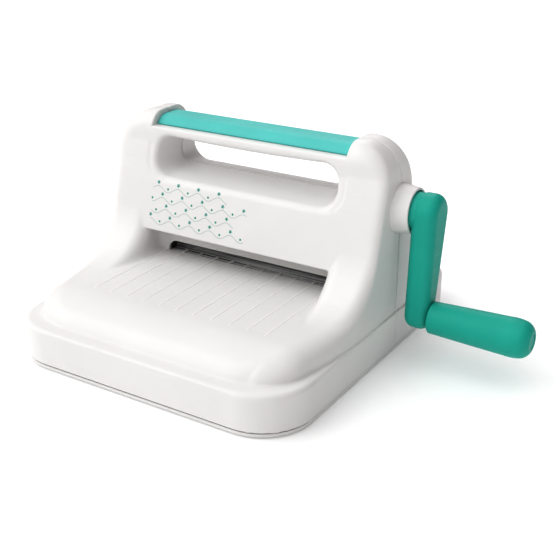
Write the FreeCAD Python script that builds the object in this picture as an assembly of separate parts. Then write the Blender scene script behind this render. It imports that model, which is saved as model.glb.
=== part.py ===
import FreeCAD, Part
import math
import os

Vec = FreeCAD.Vector

# Moulded body, millimetres; heights count up from the underside of the base plate
side_room = 39.5
front_reach = 183.0
back_reach = 129.0
base_corner = 43.0
band_height = 34.0
band_round = 4.5
tower_height = 179.0
tower_top_depth = 41.0
tower_step = 1.6
tower_corner = 32.0
face_lean = 14.5
top_round = 18.0
tower_round = 8.0
table_round = 20.0
front_rim = 5.0
back_rim = 5.0
front_ramp_radius = 60.0
back_ramp_radius = 32.0
front_drop_radius = 78.0
back_drop_radius = 60.0
table_fall = 0.012
level_stretch = 3.0
side_sweep = 400.0
front_straight = 60.0
back_straight = 48.0
plan_corner = 40.0
wall = 3.0
seam_gap = 0.3
edge_lift = 20.0

# Feed trough, slot and the raised lines on the tray
trough_margin = 10.5
tray_edge = 27.0
slot_width = 162.0
slot_ease = 1.3
slot_corner = 9.8
panel_hang = 14.5
rib_margin = 6.5
rib_count = 11
rib_width = 1.2
rib_height = 0.8
front_rib_end = 126.0
back_rib_end = 78.0

# Carrying handle
opening_margin = 0.5
opening_height = 36.0
handle_height = 17.5
opening_corner = 15.0
throat_inset = 7.0
throat_corner = 9.0
throat_rise = 6.5
throat_drop = 7.5
throat_bow = 2.5
flare_depth = 30.0
pocket_side = 7.5
pocket_margin = 3.0
pocket_corner = 16.0
pocket_depth = 1.0
grip_short = 1.8
grip_depth = 12.0
grip_inset = 0.4
grip_thickness = 3.0
grip_end_gap = 0.5

# Rollers and gears
pass_height = 53.5
roller_diameter = 30.0
roller_gap = 5.5
shaft_diameter = 12.0
gear_module = 1.5
pinion_teeth = 16
drive_teeth = 48
sync_teeth = 26
gear_face = 8.0
gear_hub = 24.0
pinion_hub = 18.0
hub_step = 3.0
pressure_angle = 20.0
tooth_ease = 0.3
flat_depth = 1.5
bore_fit = 0.02
running_fit = 0.05
side_play = 0.4

# Steel frame inside
frame_gap = 4.0
frame_thickness = 4.0
frame_foot = 12.0
frame_half_depth = 36.0
frame_shoulder = 60.0
frame_head = 17.0
bush_wall = 2.0
bush_flange = 3.0
bush_flange_thickness = 1.5
bar_diameter = 10.0
bar_neck = 6.0
bar_low = 17.0
bar_out = 20.0
bar_top_gap = 12.0
bar_clear = 1.0
guide_lip = 3.2
guide_leg = 15.0
guide_sheet = 1.2
guide_drop = 0.6
guide_gap = 1.0
clip_thickness = 1.0
clip_rim = 2.5
clip_groove = 0.6
shaft_tail = 1.5

# Base plate, feet and screws
plate_thickness = 2.5
plate_inset = 0.8
shadow_gap = 1.0
stand_rim = 6.0
stand_thickness = 2.0
stand_fit = 0.4
pad_height = 4.0
foot_diameter = 18.0
foot_drop = 1.5
foot_sink = 1.0
foot_in = 35.0
foot_front = 128.0
foot_back = 68.0
screw_diameter = 3.4
screw_head = 7.0
screw_head_height = 1.8
screw_length = 14.0
screw_fit = 0.05
post_diameter = 9.0
seam_stud = 12.5
boss_lift = 2.5
post_front = ((23.0, -62.0), (40.0, -150.0))
post_back = ((30.0, 92.0),)
seam_in = 11.4
seam_heights = (95.0, 150.0)
seam_floor = 4.0
frame_screw_out = 26.0
brace_height = 5.0
brace_places = (-130.0, -78.0, 78.0)

# Crank
collar_length = 14.1
collar_root = 41.0
collar_tip = 37.2
collar_wall = 1.7
collar_cup = 7.0
collar_spigot = 30.0
collar_fit = 0.2
arm_reach = 84.0
arm_thickness = 21.0
crank_rest = 6.5
arm_head = 33.0
arm_tail = 23.0
arm_round = 8.0
arm_boss_gap = 1.2
arm_gap = 0.6
arm_cup_gap = 1.0
arm_socket = 12.0
knob_length = 83.5
knob_root = 26.4
knob_swell = 31.0
knob_swell_at = 64.0
knob_dome = 9.0
knob_recess = 12.0
knob_recess_depth = 5.0
knob_gap = 0.4
spindle_diameter = 8.0
spindle_head = 11.0
spindle_head_height = 3.0
spindle_sink = 14.0
cap_thickness = 1.2
cap_fit = 0.1

# Places worked out from the sizes above
trough_width = slot_width + 2.0 * trough_margin
rib_pitch = (trough_width - 2.0 * rib_margin) / (rib_count - 1)
opening_width = trough_width - 2.0 * opening_margin
pocket_width = opening_width + 2.0 * pocket_side
grip_length = pocket_width - 2.0 * grip_short
frame_span = trough_width + 2.0 * frame_gap
roller_length = frame_span - 2.0 * roller_gap
base_width = frame_span + 2.0 * side_room
half_width = base_width / 2.0
side_x = half_width - tower_step
seam_x = side_x - seam_in
foot_x = half_width - foot_in
top_half = tower_top_depth / 2.0
opening_high = tower_height - handle_height
opening_low = opening_high - opening_height
pocket_low = opening_low - pocket_margin
grip_edge = tower_height - grip_depth
lean = math.radians(face_lean)
lower_axis = pass_height - roller_diameter / 2.0
upper_axis = lower_axis + gear_module * sync_teeth
crank_axis = upper_axis + gear_module * (pinion_teeth + drive_teeth) / 2.0
slot_top = upper_axis - roller_diameter / 2.0 + slot_ease
panel_edge = slot_top + panel_hang
shell_bottom = plate_thickness + shadow_gap
frame_bottom = plate_thickness + pad_height
frame_in = frame_span / 2.0
frame_out = frame_in + frame_thickness
bush_face = frame_out + bush_flange_thickness
gear_near = bush_face + side_play
gear_far = gear_near + gear_face + 2.0 * hub_step
collar_end = side_x + collar_length
arm_near = collar_end + arm_gap
arm_far = arm_near + arm_thickness
knob_near = arm_far + knob_gap
knob_far = knob_near + knob_length
knob_y = -arm_reach * math.sin(math.radians(crank_rest))
knob_z = crank_axis - arm_reach * math.cos(math.radians(crank_rest))
far = base_width + front_reach + back_reach
origin_x = (knob_far - half_width) / 2.0
origin_y = (back_reach - front_reach) / 2.0


def line(a, b):
    return Part.LineSegment(a, b).toShape()


def arc(a, b, c):
    return Part.Arc(a, b, c).toShape()


def box(x0, x1, y0, y1, z0, z1):
    return Part.makeBox(x1 - x0, y1 - y0, z1 - z0, Vec(x0, y0, z0))


def rod_x(diameter, x0, x1, y, z):
    return Part.makeCylinder(diameter / 2.0, x1 - x0, Vec(x0, y, z), Vec(1, 0, 0))


def rod_y(diameter, y0, y1, x, z):
    return Part.makeCylinder(diameter / 2.0, y1 - y0, Vec(x, y0, z), Vec(0, 1, 0))


def rod_z(diameter, z0, z1, x, y):
    return Part.makeCylinder(diameter / 2.0, z1 - z0, Vec(x, y, z0), Vec(0, 0, 1))


def prism(edges, along):
    return Part.Face(Part.Wire(edges)).extrude(along)


def polygon_prism(points, along):
    return Part.Face(Part.makePolygon(points + [points[0]])).extrude(along)


def one(shape):
    solids = shape.Solids
    return solids[0] if len(solids) == 1 else shape


def sharp_edges(shape, seam, above):
    # edges above a height and off the seam whose two faces meet at a real corner
    found = []
    for number, edge in enumerate(shape.Edges, 1):
        b = edge.BoundBox
        if b.ZMax < above or max(abs(b.YMin - seam), abs(b.YMax - seam)) < 0.01:
            continue
        faces = shape.ancestorsOfType(edge, Part.Face)
        if len(faces) != 2:
            continue
        point = edge.valueAt((edge.FirstParameter + edge.LastParameter) / 2.0)
        normals = [f.normalAt(*f.Surface.parameter(point)) for f in faces]
        if normals[0].getAngle(normals[1]) > math.radians(20.0):
            found.append((number, edge))
    return found


def face_out(height):
    # distance of the leaning face from the middle plane
    return top_half + math.tan(lean) * (tower_height - height)


def table_level(out):
    # height of the feed table at a distance from the middle plane
    return pass_height - table_fall * (out - tray_edge)


def ramp_points(sign, inset):
    # where the leaning face, the concave sweep and the table touch each other
    fall = math.atan(table_fall)
    radius = front_ramp_radius if sign < 0 else back_ramp_radius
    fu, fz = math.cos(lean), math.sin(lean)
    tu, tz = math.sin(fall), math.cos(fall)
    face_sum = radius + fu * top_half + fz * tower_height
    table_sum = radius + tu * tray_edge + tz * pass_height
    span = fu * tz - fz * tu
    cu = (face_sum * tz - fz * table_sum) / span
    cz = (fu * table_sum - face_sum * tu) / span
    size = radius + inset
    mu, mz = fu + tu, fz + tz
    scale = math.hypot(mu, mz)
    upper = (cu - size * fu, cz - size * fz)
    middle = (cu - size * mu / scale, cz - size * mz / scale)
    lower = (cu - size * tu, cz - size * tz)
    return upper, middle, lower


def drop_points(sign, inset):
    # convex end of the table to just past the rim; it leaves a level stretch by the ramp
    reach = front_reach - front_rim if sign < 0 else back_reach - back_rim
    radius = front_drop_radius if sign < 0 else back_drop_radius
    fall = math.atan(table_fall)
    du, dz = math.cos(fall), -math.sin(fall)
    nu, nz = math.sin(fall), math.cos(fall)
    qu, qz = reach - tray_edge, band_height - pass_height
    along, down = qu * du + qz * dz, -(qu * nu + qz * nz)
    room = reach - ramp_points(sign, 0.0)[2][0] - level_stretch
    radius = min(radius, (room * room + down * down) / (2.0 * down))
    start = along - math.sqrt(2.0 * radius * down - down * down)
    cu = tray_edge + start * du - radius * nu
    cz = pass_height + start * dz - radius * nz
    turn = math.acos(1.0 - down / radius) + math.radians(12.0)
    size = radius - inset
    points = []
    for share in (0.0, 0.5, 1.0):
        a = fall + turn * share
        points.append((cu + size * math.sin(a), cz + size * math.cos(a)))
    return points


def half_profile(sign, inset, seam, bottom):
    # closed side view of one half, from the seam out to the rim
    upper, middle, lower = ramp_points(sign, inset)
    drop, drop_mid, drop_end = drop_points(sign, inset)
    top = tower_height - inset
    top_out = upper[0] - math.tan(lean) * (top - upper[1])
    pts = [(seam, top), (top_out, top), upper, middle, lower, drop, drop_mid, drop_end]
    pts = pts + [(drop_end[0], bottom), (seam, bottom)]
    v = [Vec(-far / 2.0, sign * u, z) for u, z in pts]
    edges = [line(v[0], v[1]), line(v[1], v[2]), arc(v[2], v[3], v[4]), line(v[4], v[5])]
    return edges + [arc(v[5], v[6], v[7]), line(v[7], v[8]), line(v[8], v[9]), line(v[9], v[0])]


def plan_quarter(sign, inset):
    # tangent points of the swept side and its end corner, seen from above
    reach = front_reach - front_rim if sign < 0 else back_reach - back_rim
    straight = front_straight if sign < 0 else back_straight
    cx = side_x - side_sweep
    ky = reach - plan_corner
    kx = cx + math.sqrt((side_sweep - plan_corner) ** 2 - (ky - straight) ** 2)
    dx, dy = (kx - cx), (ky - straight)
    size = math.hypot(dx, dy)
    dx, dy = dx / size, dy / size
    turn = math.atan2(dy, dx)
    sweep, corner = side_sweep - inset, plan_corner - inset
    half = turn / 2.0
    bend = (turn + math.pi / 2.0) / 2.0
    start = (cx + sweep, straight)
    mid = (cx + sweep * math.cos(half), straight + sweep * math.sin(half))
    join = (cx + sweep * dx, straight + sweep * dy)
    round_mid = (kx + corner * math.cos(bend), ky + corner * math.sin(bend))
    end = (kx, ky + corner)
    return start, mid, join, round_mid, end


def plan_prism(sign, inset, bottom):
    # outline of one half from above, reaching past the seam
    edges = []
    quarter = plan_quarter(sign, inset)
    back = -sign * wall
    for side in (1, -1):
        p = [Vec(side * x, sign * y, bottom) for x, y in quarter]
        edges = edges + [line(Vec(p[0].x, back, bottom), p[0])]
        edges = edges + [arc(p[0], p[1], p[2]), arc(p[2], p[3], p[4])]
    x, y = quarter[4]
    edges.append(line(Vec(-x, sign * y, bottom), Vec(x, sign * y, bottom)))
    x = quarter[0][0]
    edges.append(line(Vec(-x, back, bottom), Vec(x, back, bottom)))
    return prism(Part.__sortEdges__(edges), Vec(0, 0, tower_height * 1.2))


def edge_radius(sign, point, inset):
    # wide along the tower's top and its back, narrow down the front, and growing towards the table's end
    if point.z > tower_height - inset - 0.01:
        return top_round - inset
    start = tower_round if sign < 0 else top_round
    near, away = ramp_points(sign, 0.0)[0][0], drop_points(sign, 0.0)[0][0]
    share = min(max((abs(point.y) - near) / (away - near), 0.0), 1.0)
    return start + (table_round - start) * share - inset


def body_half(sign, inset, seam, bottom):
    # one half of the tower with its ramp and table, edges rounded
    block = prism(half_profile(sign, inset, seam, bottom), Vec(far, 0, 0))
    body = one(block.common(plan_prism(sign, inset, bottom - 1.0)))
    top = tower_height - inset
    sides = []
    for edge in body.Edges:
        b = edge.BoundBox
        flat = b.ZLength < 0.01 and abs(b.ZMax - top) < 0.01
        if flat and b.XLength < 0.01 and min(abs(b.XMin), abs(b.XMax)) > side_x - inset - 0.01:
            sides.append(edge)
    body = one(body.makeFillet(tower_corner - inset, sides))
    sheet = FreeCAD.newDocument()
    base = sheet.addObject("Part::Feature", "base")
    base.Shape = body
    rounds = sheet.addObject("Part::Fillet", "rounds")
    rounds.Base = base
    rolls = []
    for number, edge in sharp_edges(body, sign * seam, bottom + 1.0):
        ends = [edge.valueAt(t) for t in (edge.FirstParameter, edge.LastParameter)]
        rolls.append((number, edge_radius(sign, ends[0], inset), edge_radius(sign, ends[1], inset)))
    rounds.Edges = rolls
    sheet.recompute()
    body = rounds.Shape.copy()
    FreeCAD.closeDocument(sheet.Name)
    return one(body)


def rounded_plan(inset, z0, z1):
    # the base outline as a slab with round corners
    r = base_corner - inset
    slab = box(-half_width + inset, half_width - inset, -front_reach + inset, back_reach - inset, z0, z1)
    uprights = [e for e in slab.Edges if e.BoundBox.ZLength > (z1 - z0) * 0.99]
    return one(slab.makeFillet(r, uprights))


def band_half(sign, inset, seam, bottom):
    # the low rim round the base, one half of it
    reach = (front_reach if sign < 0 else back_reach) - inset
    side, top = half_width - inset, band_height - inset
    ends = sorted((sign * seam, sign * reach))
    slab = box(-side, side, ends[0], ends[1], bottom, top)
    far_y = sign * reach
    uprights = [e for e in slab.Edges if e.BoundBox.ZLength > 1.0 and abs(e.BoundBox.YMax - far_y) < 0.01]
    slab = slab.makeFillet(base_corner - inset, uprights)
    if inset > 0.0:
        return one(slab)
    rim = []
    for edge in slab.Edges:
        b = edge.BoundBox
        on_seam = max(abs(b.YMin - sign * seam), abs(b.YMax - sign * seam)) < 0.01
        if b.ZMin > top - 0.01 and not on_seam:
            rim.append(edge)
    return one(slab.makeFillet(band_round, rim))


def trough(sign, grow):
    # what is taken away between the two pillars, down to the table
    upper, middle, lower = ramp_points(sign, 0.0)
    drop = grow / math.cos(math.atan(table_fall))
    inner = tray_edge - grow
    under = panel_edge + grow
    back = grow / math.cos(lean)
    out = upper[0] + (lower[0] - upper[0]) * 1.3
    pts = [(inner, table_level(inner) - drop), (inner, under), (face_out(under) - back, under)]
    pts = pts + [(upper[0] - back, upper[1]), (out, upper[1] + edge_lift)]
    pts = pts + [(out, lower[1] + edge_lift / 20.0), (lower[0], lower[1] - drop)]
    half = trough_width / 2.0 + grow
    v = [Vec(-half, sign * u, z) for u, z in pts]
    return polygon_prism(v, Vec(2.0 * half, 0, 0))


def opening_ring(y, half, low, high, corner, bow):
    # rounded outline of the carrying opening with a gently bowed upper side
    k = corner * (1.0 - math.sqrt(0.5))
    a, b = half - corner, corner
    p = [Vec(-a, y, low), Vec(a, y, low), Vec(half - k, y, low + k), Vec(half, y, low + b)]
    p = p + [Vec(half, y, high - b), Vec(half - k, y, high - k), Vec(a, y, high)]
    p = p + [Vec(0, y, high - bow), Vec(-a, y, high), Vec(-half + k, y, high - k)]
    p = p + [Vec(-half, y, high - b), Vec(-half, y, low + b), Vec(-half + k, y, low + k)]
    edges = [line(p[0], p[1]), arc(p[1], p[2], p[3]), line(p[3], p[4]), arc(p[4], p[5], p[6])]
    edges = edges + [arc(p[6], p[7], p[8]), arc(p[8], p[9], p[10]), line(p[10], p[11])]
    return Part.Wire(edges + [arc(p[11], p[12], p[0])])


def opening(sign, grow):
    # flared half of the carrying opening, narrowest at the seam and carried a little past it
    rings = []
    half = opening_width / 2.0
    for share in (-0.05, 1.6):
        less = 1.0 - share
        wide = half - throat_inset * less + grow
        low = opening_low + throat_rise * less - grow
        high = opening_high - throat_drop * less + grow
        bow = throat_bow * (2.0 - share) / 2.0
        corner = opening_corner - (opening_corner - throat_corner) * less + grow
        rings.append(opening_ring(sign * flare_depth * share, wide, low, high, corner, bow))
    return Part.makeLoft(rings, True, True)


def face_space(sign, depth):
    # everything in front of a plane that lies a given depth under the leaning face
    back = depth / math.cos(lean)
    high, low = tower_height * 1.3, band_height
    pts = [(face_out(high) - back, high), (far / 3.0, high), (far / 3.0, low), (face_out(low) - back, low)]
    return polygon_prism([Vec(-far / 2.0, sign * u, z) for u, z in pts], Vec(far, 0, 0))


def pocket(sign):
    # shallow step round the opening
    half = pocket_width / 2.0
    block = box(-half, half, -far / 2.0, far / 2.0, pocket_low, tower_height * 1.2)
    low = [e for e in block.Edges if e.BoundBox.YLength > far * 0.9 and e.BoundBox.ZMax < pocket_low + 1.0]
    return block.makeFillet(pocket_corner, low).common(face_space(sign, pocket_depth))


def cap_bar(depth, half, low):
    # the tower's rounded top above a height, as a straight bar drawn in by a depth
    out = top_half - top_round * (1.0 / math.cos(lean) - math.tan(lean))
    bar = box(-half, half, -out, out, low, tower_height - depth)
    for side in (-1, 1):
        bar = bar.fuse(rod_x(2.0 * (top_round - depth), -half, half, side * out, tower_height - top_round))
    return one(bar.common(box(-half, half, -far, far, low, far)).removeSplitter())


def grip_space(grow):
    # the room over the bar that the soft grip takes up
    half = grip_length / 2.0 + grip_end_gap + grow
    block = box(-half, half, -far / 3.0, far / 3.0, grip_edge - grow, tower_height * 1.2)
    return block.cut(cap_bar(grip_inset + grip_thickness + grow, half, grip_edge - grow))


def tray_ribs(sign):
    ribs = []
    end = front_rib_end if sign < 0 else back_rib_end
    start = tray_edge - wall * 0.9
    for i in range(rib_count):
        x = (i - (rib_count - 1) / 2.0) * rib_pitch
        first = tray_edge if abs(x) + rib_width > slot_width / 2.0 else start
        pts = []
        slope = end - rib_height * 2.0
        for u, up in ((first, -0.5), (first, rib_height), (slope, rib_height), (end, -0.5)):
            pts.append(Vec(x - rib_width / 2.0, sign * u, table_level(u) + up))
        ribs.append(polygon_prism(pts, Vec(rib_width, 0, 0)))
    return ribs


def slot_space():
    half = slot_width / 2.0
    block = box(-half, half, -tray_edge - 0.5, tray_edge + 0.5, pass_height, slot_top)
    top = [e for e in block.Edges if e.BoundBox.YLength > 1.0 and e.BoundBox.ZMin > slot_top - 0.01]
    return block.makeFillet(min(slot_corner, 0.96 * (slot_top - pass_height)), top)


def post_places():
    return [(s * (half_width - d), y) for d, y in post_front + post_back for s in (-1, 1)]


def seam_places():
    return [(s * seam_x, z) for z in seam_heights for s in (-1, 1)]


def shell_half(sign):
    # one moulded half: outer form less its hollow, with openings, bosses and raised lines
    seam, low = seam_gap / 2.0, band_height / 2.0
    outer = one(body_half(sign, 0.0, seam, low).fuse(band_half(sign, 0.0, seam, shell_bottom)))
    hollow = one(body_half(sign, wall, 0.0, low).fuse(band_half(sign, wall, 0.0, shell_bottom - wall)))
    hollow = hollow.cut(trough(sign, wall)).cut(opening(sign, wall)).cut(grip_space(wall))
    shell = outer.cut(hollow)
    reach = front_reach if sign < 0 else back_reach
    places = [(x, y) for x, y in post_places() if y * sign > 0]
    for x, y in places:
        post = rod_z(post_diameter, plate_thickness + boss_lift, tower_height, x, y)
        shell = shell.fuse(post.common(outer))
    for x, z in seam_places():
        ends = sorted((sign * seam, sign * reach))
        shell = shell.fuse(rod_y(seam_stud, ends[0], ends[1], x, z).common(outer))
    shell = shell.cut(trough(sign, 0.0)).cut(pocket(sign))
    shell = shell.cut(opening(sign, 0.0)).cut(grip_space(0.0)).cut(slot_space())
    for rib in tray_ribs(sign):
        shell = shell.fuse(rib)
    hole = screw_diameter + 2.0 * screw_fit
    top = screw_head_height + screw_length + 1.0
    for x, y in places:
        shell = shell.cut(rod_z(hole, 0.0, top, x, y))
    for x, z in seam_places():
        if sign > 0:
            shell = shell.fuse(rod_y(seam_stud, -seam, seam + 1.0, x, z))
            shell = shell.cut(rod_y(screw_head + 1.0, seam_floor, back_reach, x, z))
        shell = shell.cut(rod_y(hole, seam_floor - screw_length - 1.0, back_reach, x, z))
    spigot = collar_spigot + 2.0 * collar_fit
    shell = shell.cut(rod_x(spigot, side_x - 4.0 * wall, side_x + 1.0, 0.0, crank_axis))
    return one(shell)


def handle_grip():
    # a soft strip that lies flush over the bar
    half = grip_length / 2.0
    bar = cap_bar(grip_inset + grip_thickness, half, grip_edge)
    return one(cap_bar(grip_inset, half, grip_edge).cut(bar))


def base_plate():
    plate = rounded_plan(plate_inset, 0.0, plate_thickness)
    outer = wall + stand_fit
    top = plate_thickness + stand_rim
    ring = rounded_plan(outer, plate_thickness, top)
    ring = ring.cut(rounded_plan(outer + stand_thickness, plate_thickness, top))
    plate = plate.fuse(ring)
    for y in brace_places:
        length = half_width - outer - stand_thickness / 2.0 - base_corner * 0.2
        rib = box(-length, length, y - 1.0, y + 1.0, plate_thickness, plate_thickness + brace_height)
        plate = plate.fuse(rib.common(rounded_plan(outer + 0.5, plate_thickness, top)))
    for x, y in post_places():
        plate = plate.fuse(rod_z(post_diameter + 3.0, plate_thickness, plate_thickness + boss_lift, x, y))
    for sign in (-1, 1):
        edges = sorted((sign * frame_in, sign * (frame_out + frame_foot)))
        pad = box(edges[0], edges[1], -frame_half_depth, frame_half_depth, plate_thickness, frame_bottom)
        plate = plate.fuse(pad)
    for x, y in post_places():
        plate = plate.cut(rod_z(screw_diameter + 0.6, 0.0, far, x, y))
        plate = plate.cut(rod_z(screw_head + 0.8, -1.0, screw_head_height, x, y))
    for x, y in foot_places():
        plate = plate.cut(rod_z(foot_diameter, -1.0, foot_sink, x, y))
    hole = screw_diameter + 2.0 * screw_fit
    for x, y in frame_screw_places():
        plate = plate.cut(rod_z(hole, plate_thickness - 1.5, far, x, y))
    return one(plate.removeSplitter())


def foot_places():
    return [(s * foot_x, y) for y in (-foot_front, foot_back) for s in (-1, 1)]


def frame_screw_places():
    out = frame_out + frame_foot / 2.0
    return [(s * out, y) for y in (-frame_screw_out, frame_screw_out) for s in (-1, 1)]


def feet():
    pads = []
    for x, y in foot_places():
        pad = rod_z(foot_diameter, -foot_drop, foot_sink, x, y)
        low = [e for e in pad.Edges if e.BoundBox.ZMax < -foot_drop + 0.01]
        pads.append(pad.makeChamfer(0.5, low))
    return Part.makeCompound(pads)


def screw_up(x, y, under, length):
    # pan head below, shank upwards
    head = rod_z(screw_head, under, under + screw_head_height, x, y)
    neck = under + screw_head_height
    return head.fuse(rod_z(screw_diameter, neck, neck + length, x, y))


def base_screws():
    return Part.makeCompound([screw_up(x, y, 0.0, screw_length) for x, y in post_places()])


def seam_screws():
    screws = []
    for x, z in seam_places():
        head = rod_y(screw_head, seam_floor, seam_floor + screw_head_height, x, z)
        screws.append(head.fuse(rod_y(screw_diameter, seam_floor - screw_length, seam_floor, x, z)))
    return Part.makeCompound(screws)


def frame_screws():
    screws = []
    top = frame_bottom + frame_thickness
    for x, y in frame_screw_places():
        head = rod_z(screw_head, top, top + screw_head_height, x, y)
        screws.append(head.fuse(rod_z(screw_diameter, plate_thickness, top, x, y)))
    return Part.makeCompound(screws)


def bar_places():
    under = opening_low + throat_rise - wall - bar_clear - bar_diameter / 2.0
    top = min(upper_axis + roller_diameter / 2.0 + bar_top_gap, under)
    return [(-bar_out, bar_low), (bar_out, bar_low), (0.0, top)]


def bush_outer():
    return shaft_diameter + 2.0 * (running_fit + bush_wall)


def side_plate(sign, axes):
    # pressed steel plate with a foot turned outwards
    top = max(axes) + frame_head
    crown = max(axes)
    head_top = bar_places()[2][1] + bar_diameter
    if head_top > top:
        crown, top = head_top - frame_head, head_top
    pts = [(-frame_half_depth, frame_bottom), (-frame_half_depth, frame_shoulder), (-frame_head, crown)]
    v = [Vec(sign * frame_in, y, z) for y, z in pts]
    w = [Vec(p.x, -p.y, p.z) for p in v]
    mid = Vec(sign * frame_in, 0.0, crown + frame_head)
    edges = [line(v[0], v[1]), line(v[1], v[2]), arc(v[2], mid, w[2]), line(w[2], w[1])]
    edges = edges + [line(w[1], w[0]), line(w[0], v[0])]
    plate = prism(edges, Vec(sign * frame_thickness, 0, 0))
    ends = sorted((sign * frame_out, sign * (frame_out + frame_foot)))
    tread = frame_bottom + frame_thickness
    foot = box(ends[0], ends[1], -frame_half_depth, frame_half_depth, frame_bottom, tread)
    plate = plate.fuse(foot).removeSplitter()
    for axis in axes:
        plate = plate.cut(rod_x(bush_outer() + 2.0 * bore_fit, -far, far, 0.0, axis))
    for y, z in bar_places():
        plate = plate.cut(rod_x(bar_neck + 2.0 * bore_fit, -far, far, y, z))
    for x, y in frame_screw_places():
        plate = plate.cut(rod_z(screw_diameter + 0.4, 0.0, far / 4.0, x, y))
    return one(plate)


def flanged_bush(sign, axis):
    x0, x1 = sorted((sign * frame_in, sign * frame_out))
    f0, f1 = sorted((sign * frame_out, sign * bush_face))
    bush = rod_x(bush_outer(), x0, x1, 0.0, axis)
    bush = bush.fuse(rod_x(bush_outer() + 2.0 * bush_flange, f0, f1, 0.0, axis))
    return one(bush.cut(rod_x(shaft_diameter + 2.0 * running_fit, -far, far, 0.0, axis)).removeSplitter())


def roller_bushes():
    return Part.makeCompound([flanged_bush(s, a) for a in (lower_axis, upper_axis) for s in (-1, 1)])


def tie_bars():
    bars = []
    for y, z in bar_places():
        bar = rod_x(bar_diameter, -frame_in, frame_in, y, z)
        bars.append(bar.fuse(rod_x(bar_neck, -frame_out, frame_out, y, z)))
    return Part.makeCompound(bars)


def guide_plate(sign):
    # angle strip between the tray's edge and the lower roller
    top = pass_height - guide_drop
    near = tray_edge - wall - guide_gap
    pts = [(near, top), (near - guide_lip, top), (near - guide_lip, top - guide_sheet)]
    pts = pts + [(near - guide_sheet, top - guide_sheet), (near - guide_sheet, top - guide_leg)]
    pts = pts + [(near, top - guide_leg)]
    return polygon_prism([Vec(-frame_in, sign * u, z) for u, z in pts], Vec(2.0 * frame_in, 0, 0))


def flat_shaft(x0, x1, axis):
    # the part of a shaft that carries a gear has a flat on one side
    shaft = rod_x(shaft_diameter, x0, x1, 0.0, axis)
    side = shaft_diameter / 2.0 - flat_depth
    return shaft.cut(box(x0, x1, side, shaft_diameter, axis - shaft_diameter, axis + shaft_diameter))


def flat_bore(x0, x1, axis):
    bore = rod_x(shaft_diameter + 2.0 * bore_fit, x0, x1, 0.0, axis)
    side = shaft_diameter / 2.0 - flat_depth + bore_fit
    return bore.cut(box(x0, x1, side, shaft_diameter, axis - shaft_diameter, axis + shaft_diameter))


def groove(x0, x1, axis):
    ring = rod_x(shaft_diameter + 2.0, x0, x1, 0.0, axis)
    return ring.cut(rod_x(shaft_diameter - 2.0 * clip_groove, x0, x1, 0.0, axis))


def clip_at(x0, axis):
    # open retaining ring that sits in a groove
    x1 = x0 + clip_thickness
    ring = rod_x(shaft_diameter + 2.0 * clip_rim, x0, x1, 0.0, axis)
    ring = ring.cut(rod_x(shaft_diameter - 2.0 * clip_groove + 2.0 * bore_fit, x0, x1, 0.0, axis))
    mouth = shaft_diameter * 0.3
    return ring.cut(box(x0, x1, -mouth, mouth, axis - shaft_diameter, axis))


def clip_gap():
    return side_play / 2.0


def roller(axis, left_gear, right_gear):
    # solid steel roller with turned shaft ends
    half = roller_length / 2.0
    body = rod_x(roller_diameter, -half, half, 0.0, axis)
    body = body.makeChamfer(1.0, [e for e in body.Edges if e.BoundBox.XLength < 0.01])
    for sign, geared in ((-1, left_gear), (1, right_gear)):
        seat = gear_near if geared else bush_face
        stop = (gear_far if geared else bush_face) + clip_gap()
        end = stop + clip_thickness + shaft_tail
        ends = sorted((sign * half, sign * seat))
        body = body.fuse(rod_x(shaft_diameter, ends[0], ends[1], 0.0, axis))
        ends = sorted((sign * seat, sign * end))
        tail = rod_x(shaft_diameter, ends[0], ends[1], 0.0, axis)
        if geared:
            tail = flat_shaft(ends[0], ends[1], axis)
        body = body.fuse(tail)
        ends = sorted((sign * stop, sign * (stop + clip_thickness)))
        body = body.cut(groove(ends[0], ends[1], axis))
    return one(body.removeSplitter())


def roller_clips(axis, left_gear, right_gear):
    clips = []
    for sign, geared in ((-1, left_gear), (1, right_gear)):
        stop = (gear_far if geared else bush_face) + clip_gap()
        clips.append(clip_at(min(sign * stop, sign * (stop + clip_thickness)), axis))
    return Part.makeCompound(clips)


def gear_blank(teeth, x0, x1, axis, first):
    # involute teeth, each flank one arc through three points of the true curve
    pitch = gear_module * teeth / 2.0
    tip, root = pitch + gear_module, pitch - 1.25 * gear_module
    slant = math.radians(pressure_angle)
    base = pitch * math.cos(slant)
    half = (math.pi * gear_module / 2.0 - tooth_ease) / (2.0 * pitch)

    def spread(r):
        a = math.acos(min(1.0, base / r))
        return half + (math.tan(slant) - slant) - (math.tan(a) - a)

    def at(r, angle):
        return Vec(x0, r * math.cos(angle), axis + r * math.sin(angle))

    low = max(root, base)
    mid = (low + tip) / 2.0
    edges = []
    step = 2.0 * math.pi / teeth
    for i in range(teeth):
        c = math.radians(first) + i * step
        a, b, d = at(low, c - spread(low)), at(mid, c - spread(mid)), at(tip, c - spread(tip))
        e, f, g = at(tip, c + spread(tip)), at(mid, c + spread(mid)), at(low, c + spread(low))
        edges = edges + [arc(a, b, d), line(d, e), arc(e, f, g)]
        after = at(low, c + step - spread(low))
        if low > root:
            h, k = at(root, c + spread(low)), at(root, c + step - spread(low))
            edges = edges + [line(g, h), line(h, k), line(k, after)]
        else:
            edges.append(line(g, after))
    return prism(edges, Vec(x1 - x0, 0, 0))


def gear(teeth, sign, axis, first, hub):
    # toothed disc with a short hub on both faces, bored with a flat
    x0, x1 = sorted((sign * (gear_near + hub_step), sign * (gear_far - hub_step)))
    h0, h1 = sorted((sign * gear_near, sign * gear_far))
    body = gear_blank(teeth, x0, x1, axis, first).fuse(rod_x(hub, h0, h1, 0.0, axis))
    return body.cut(flat_bore(h0, h1, axis))


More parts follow.
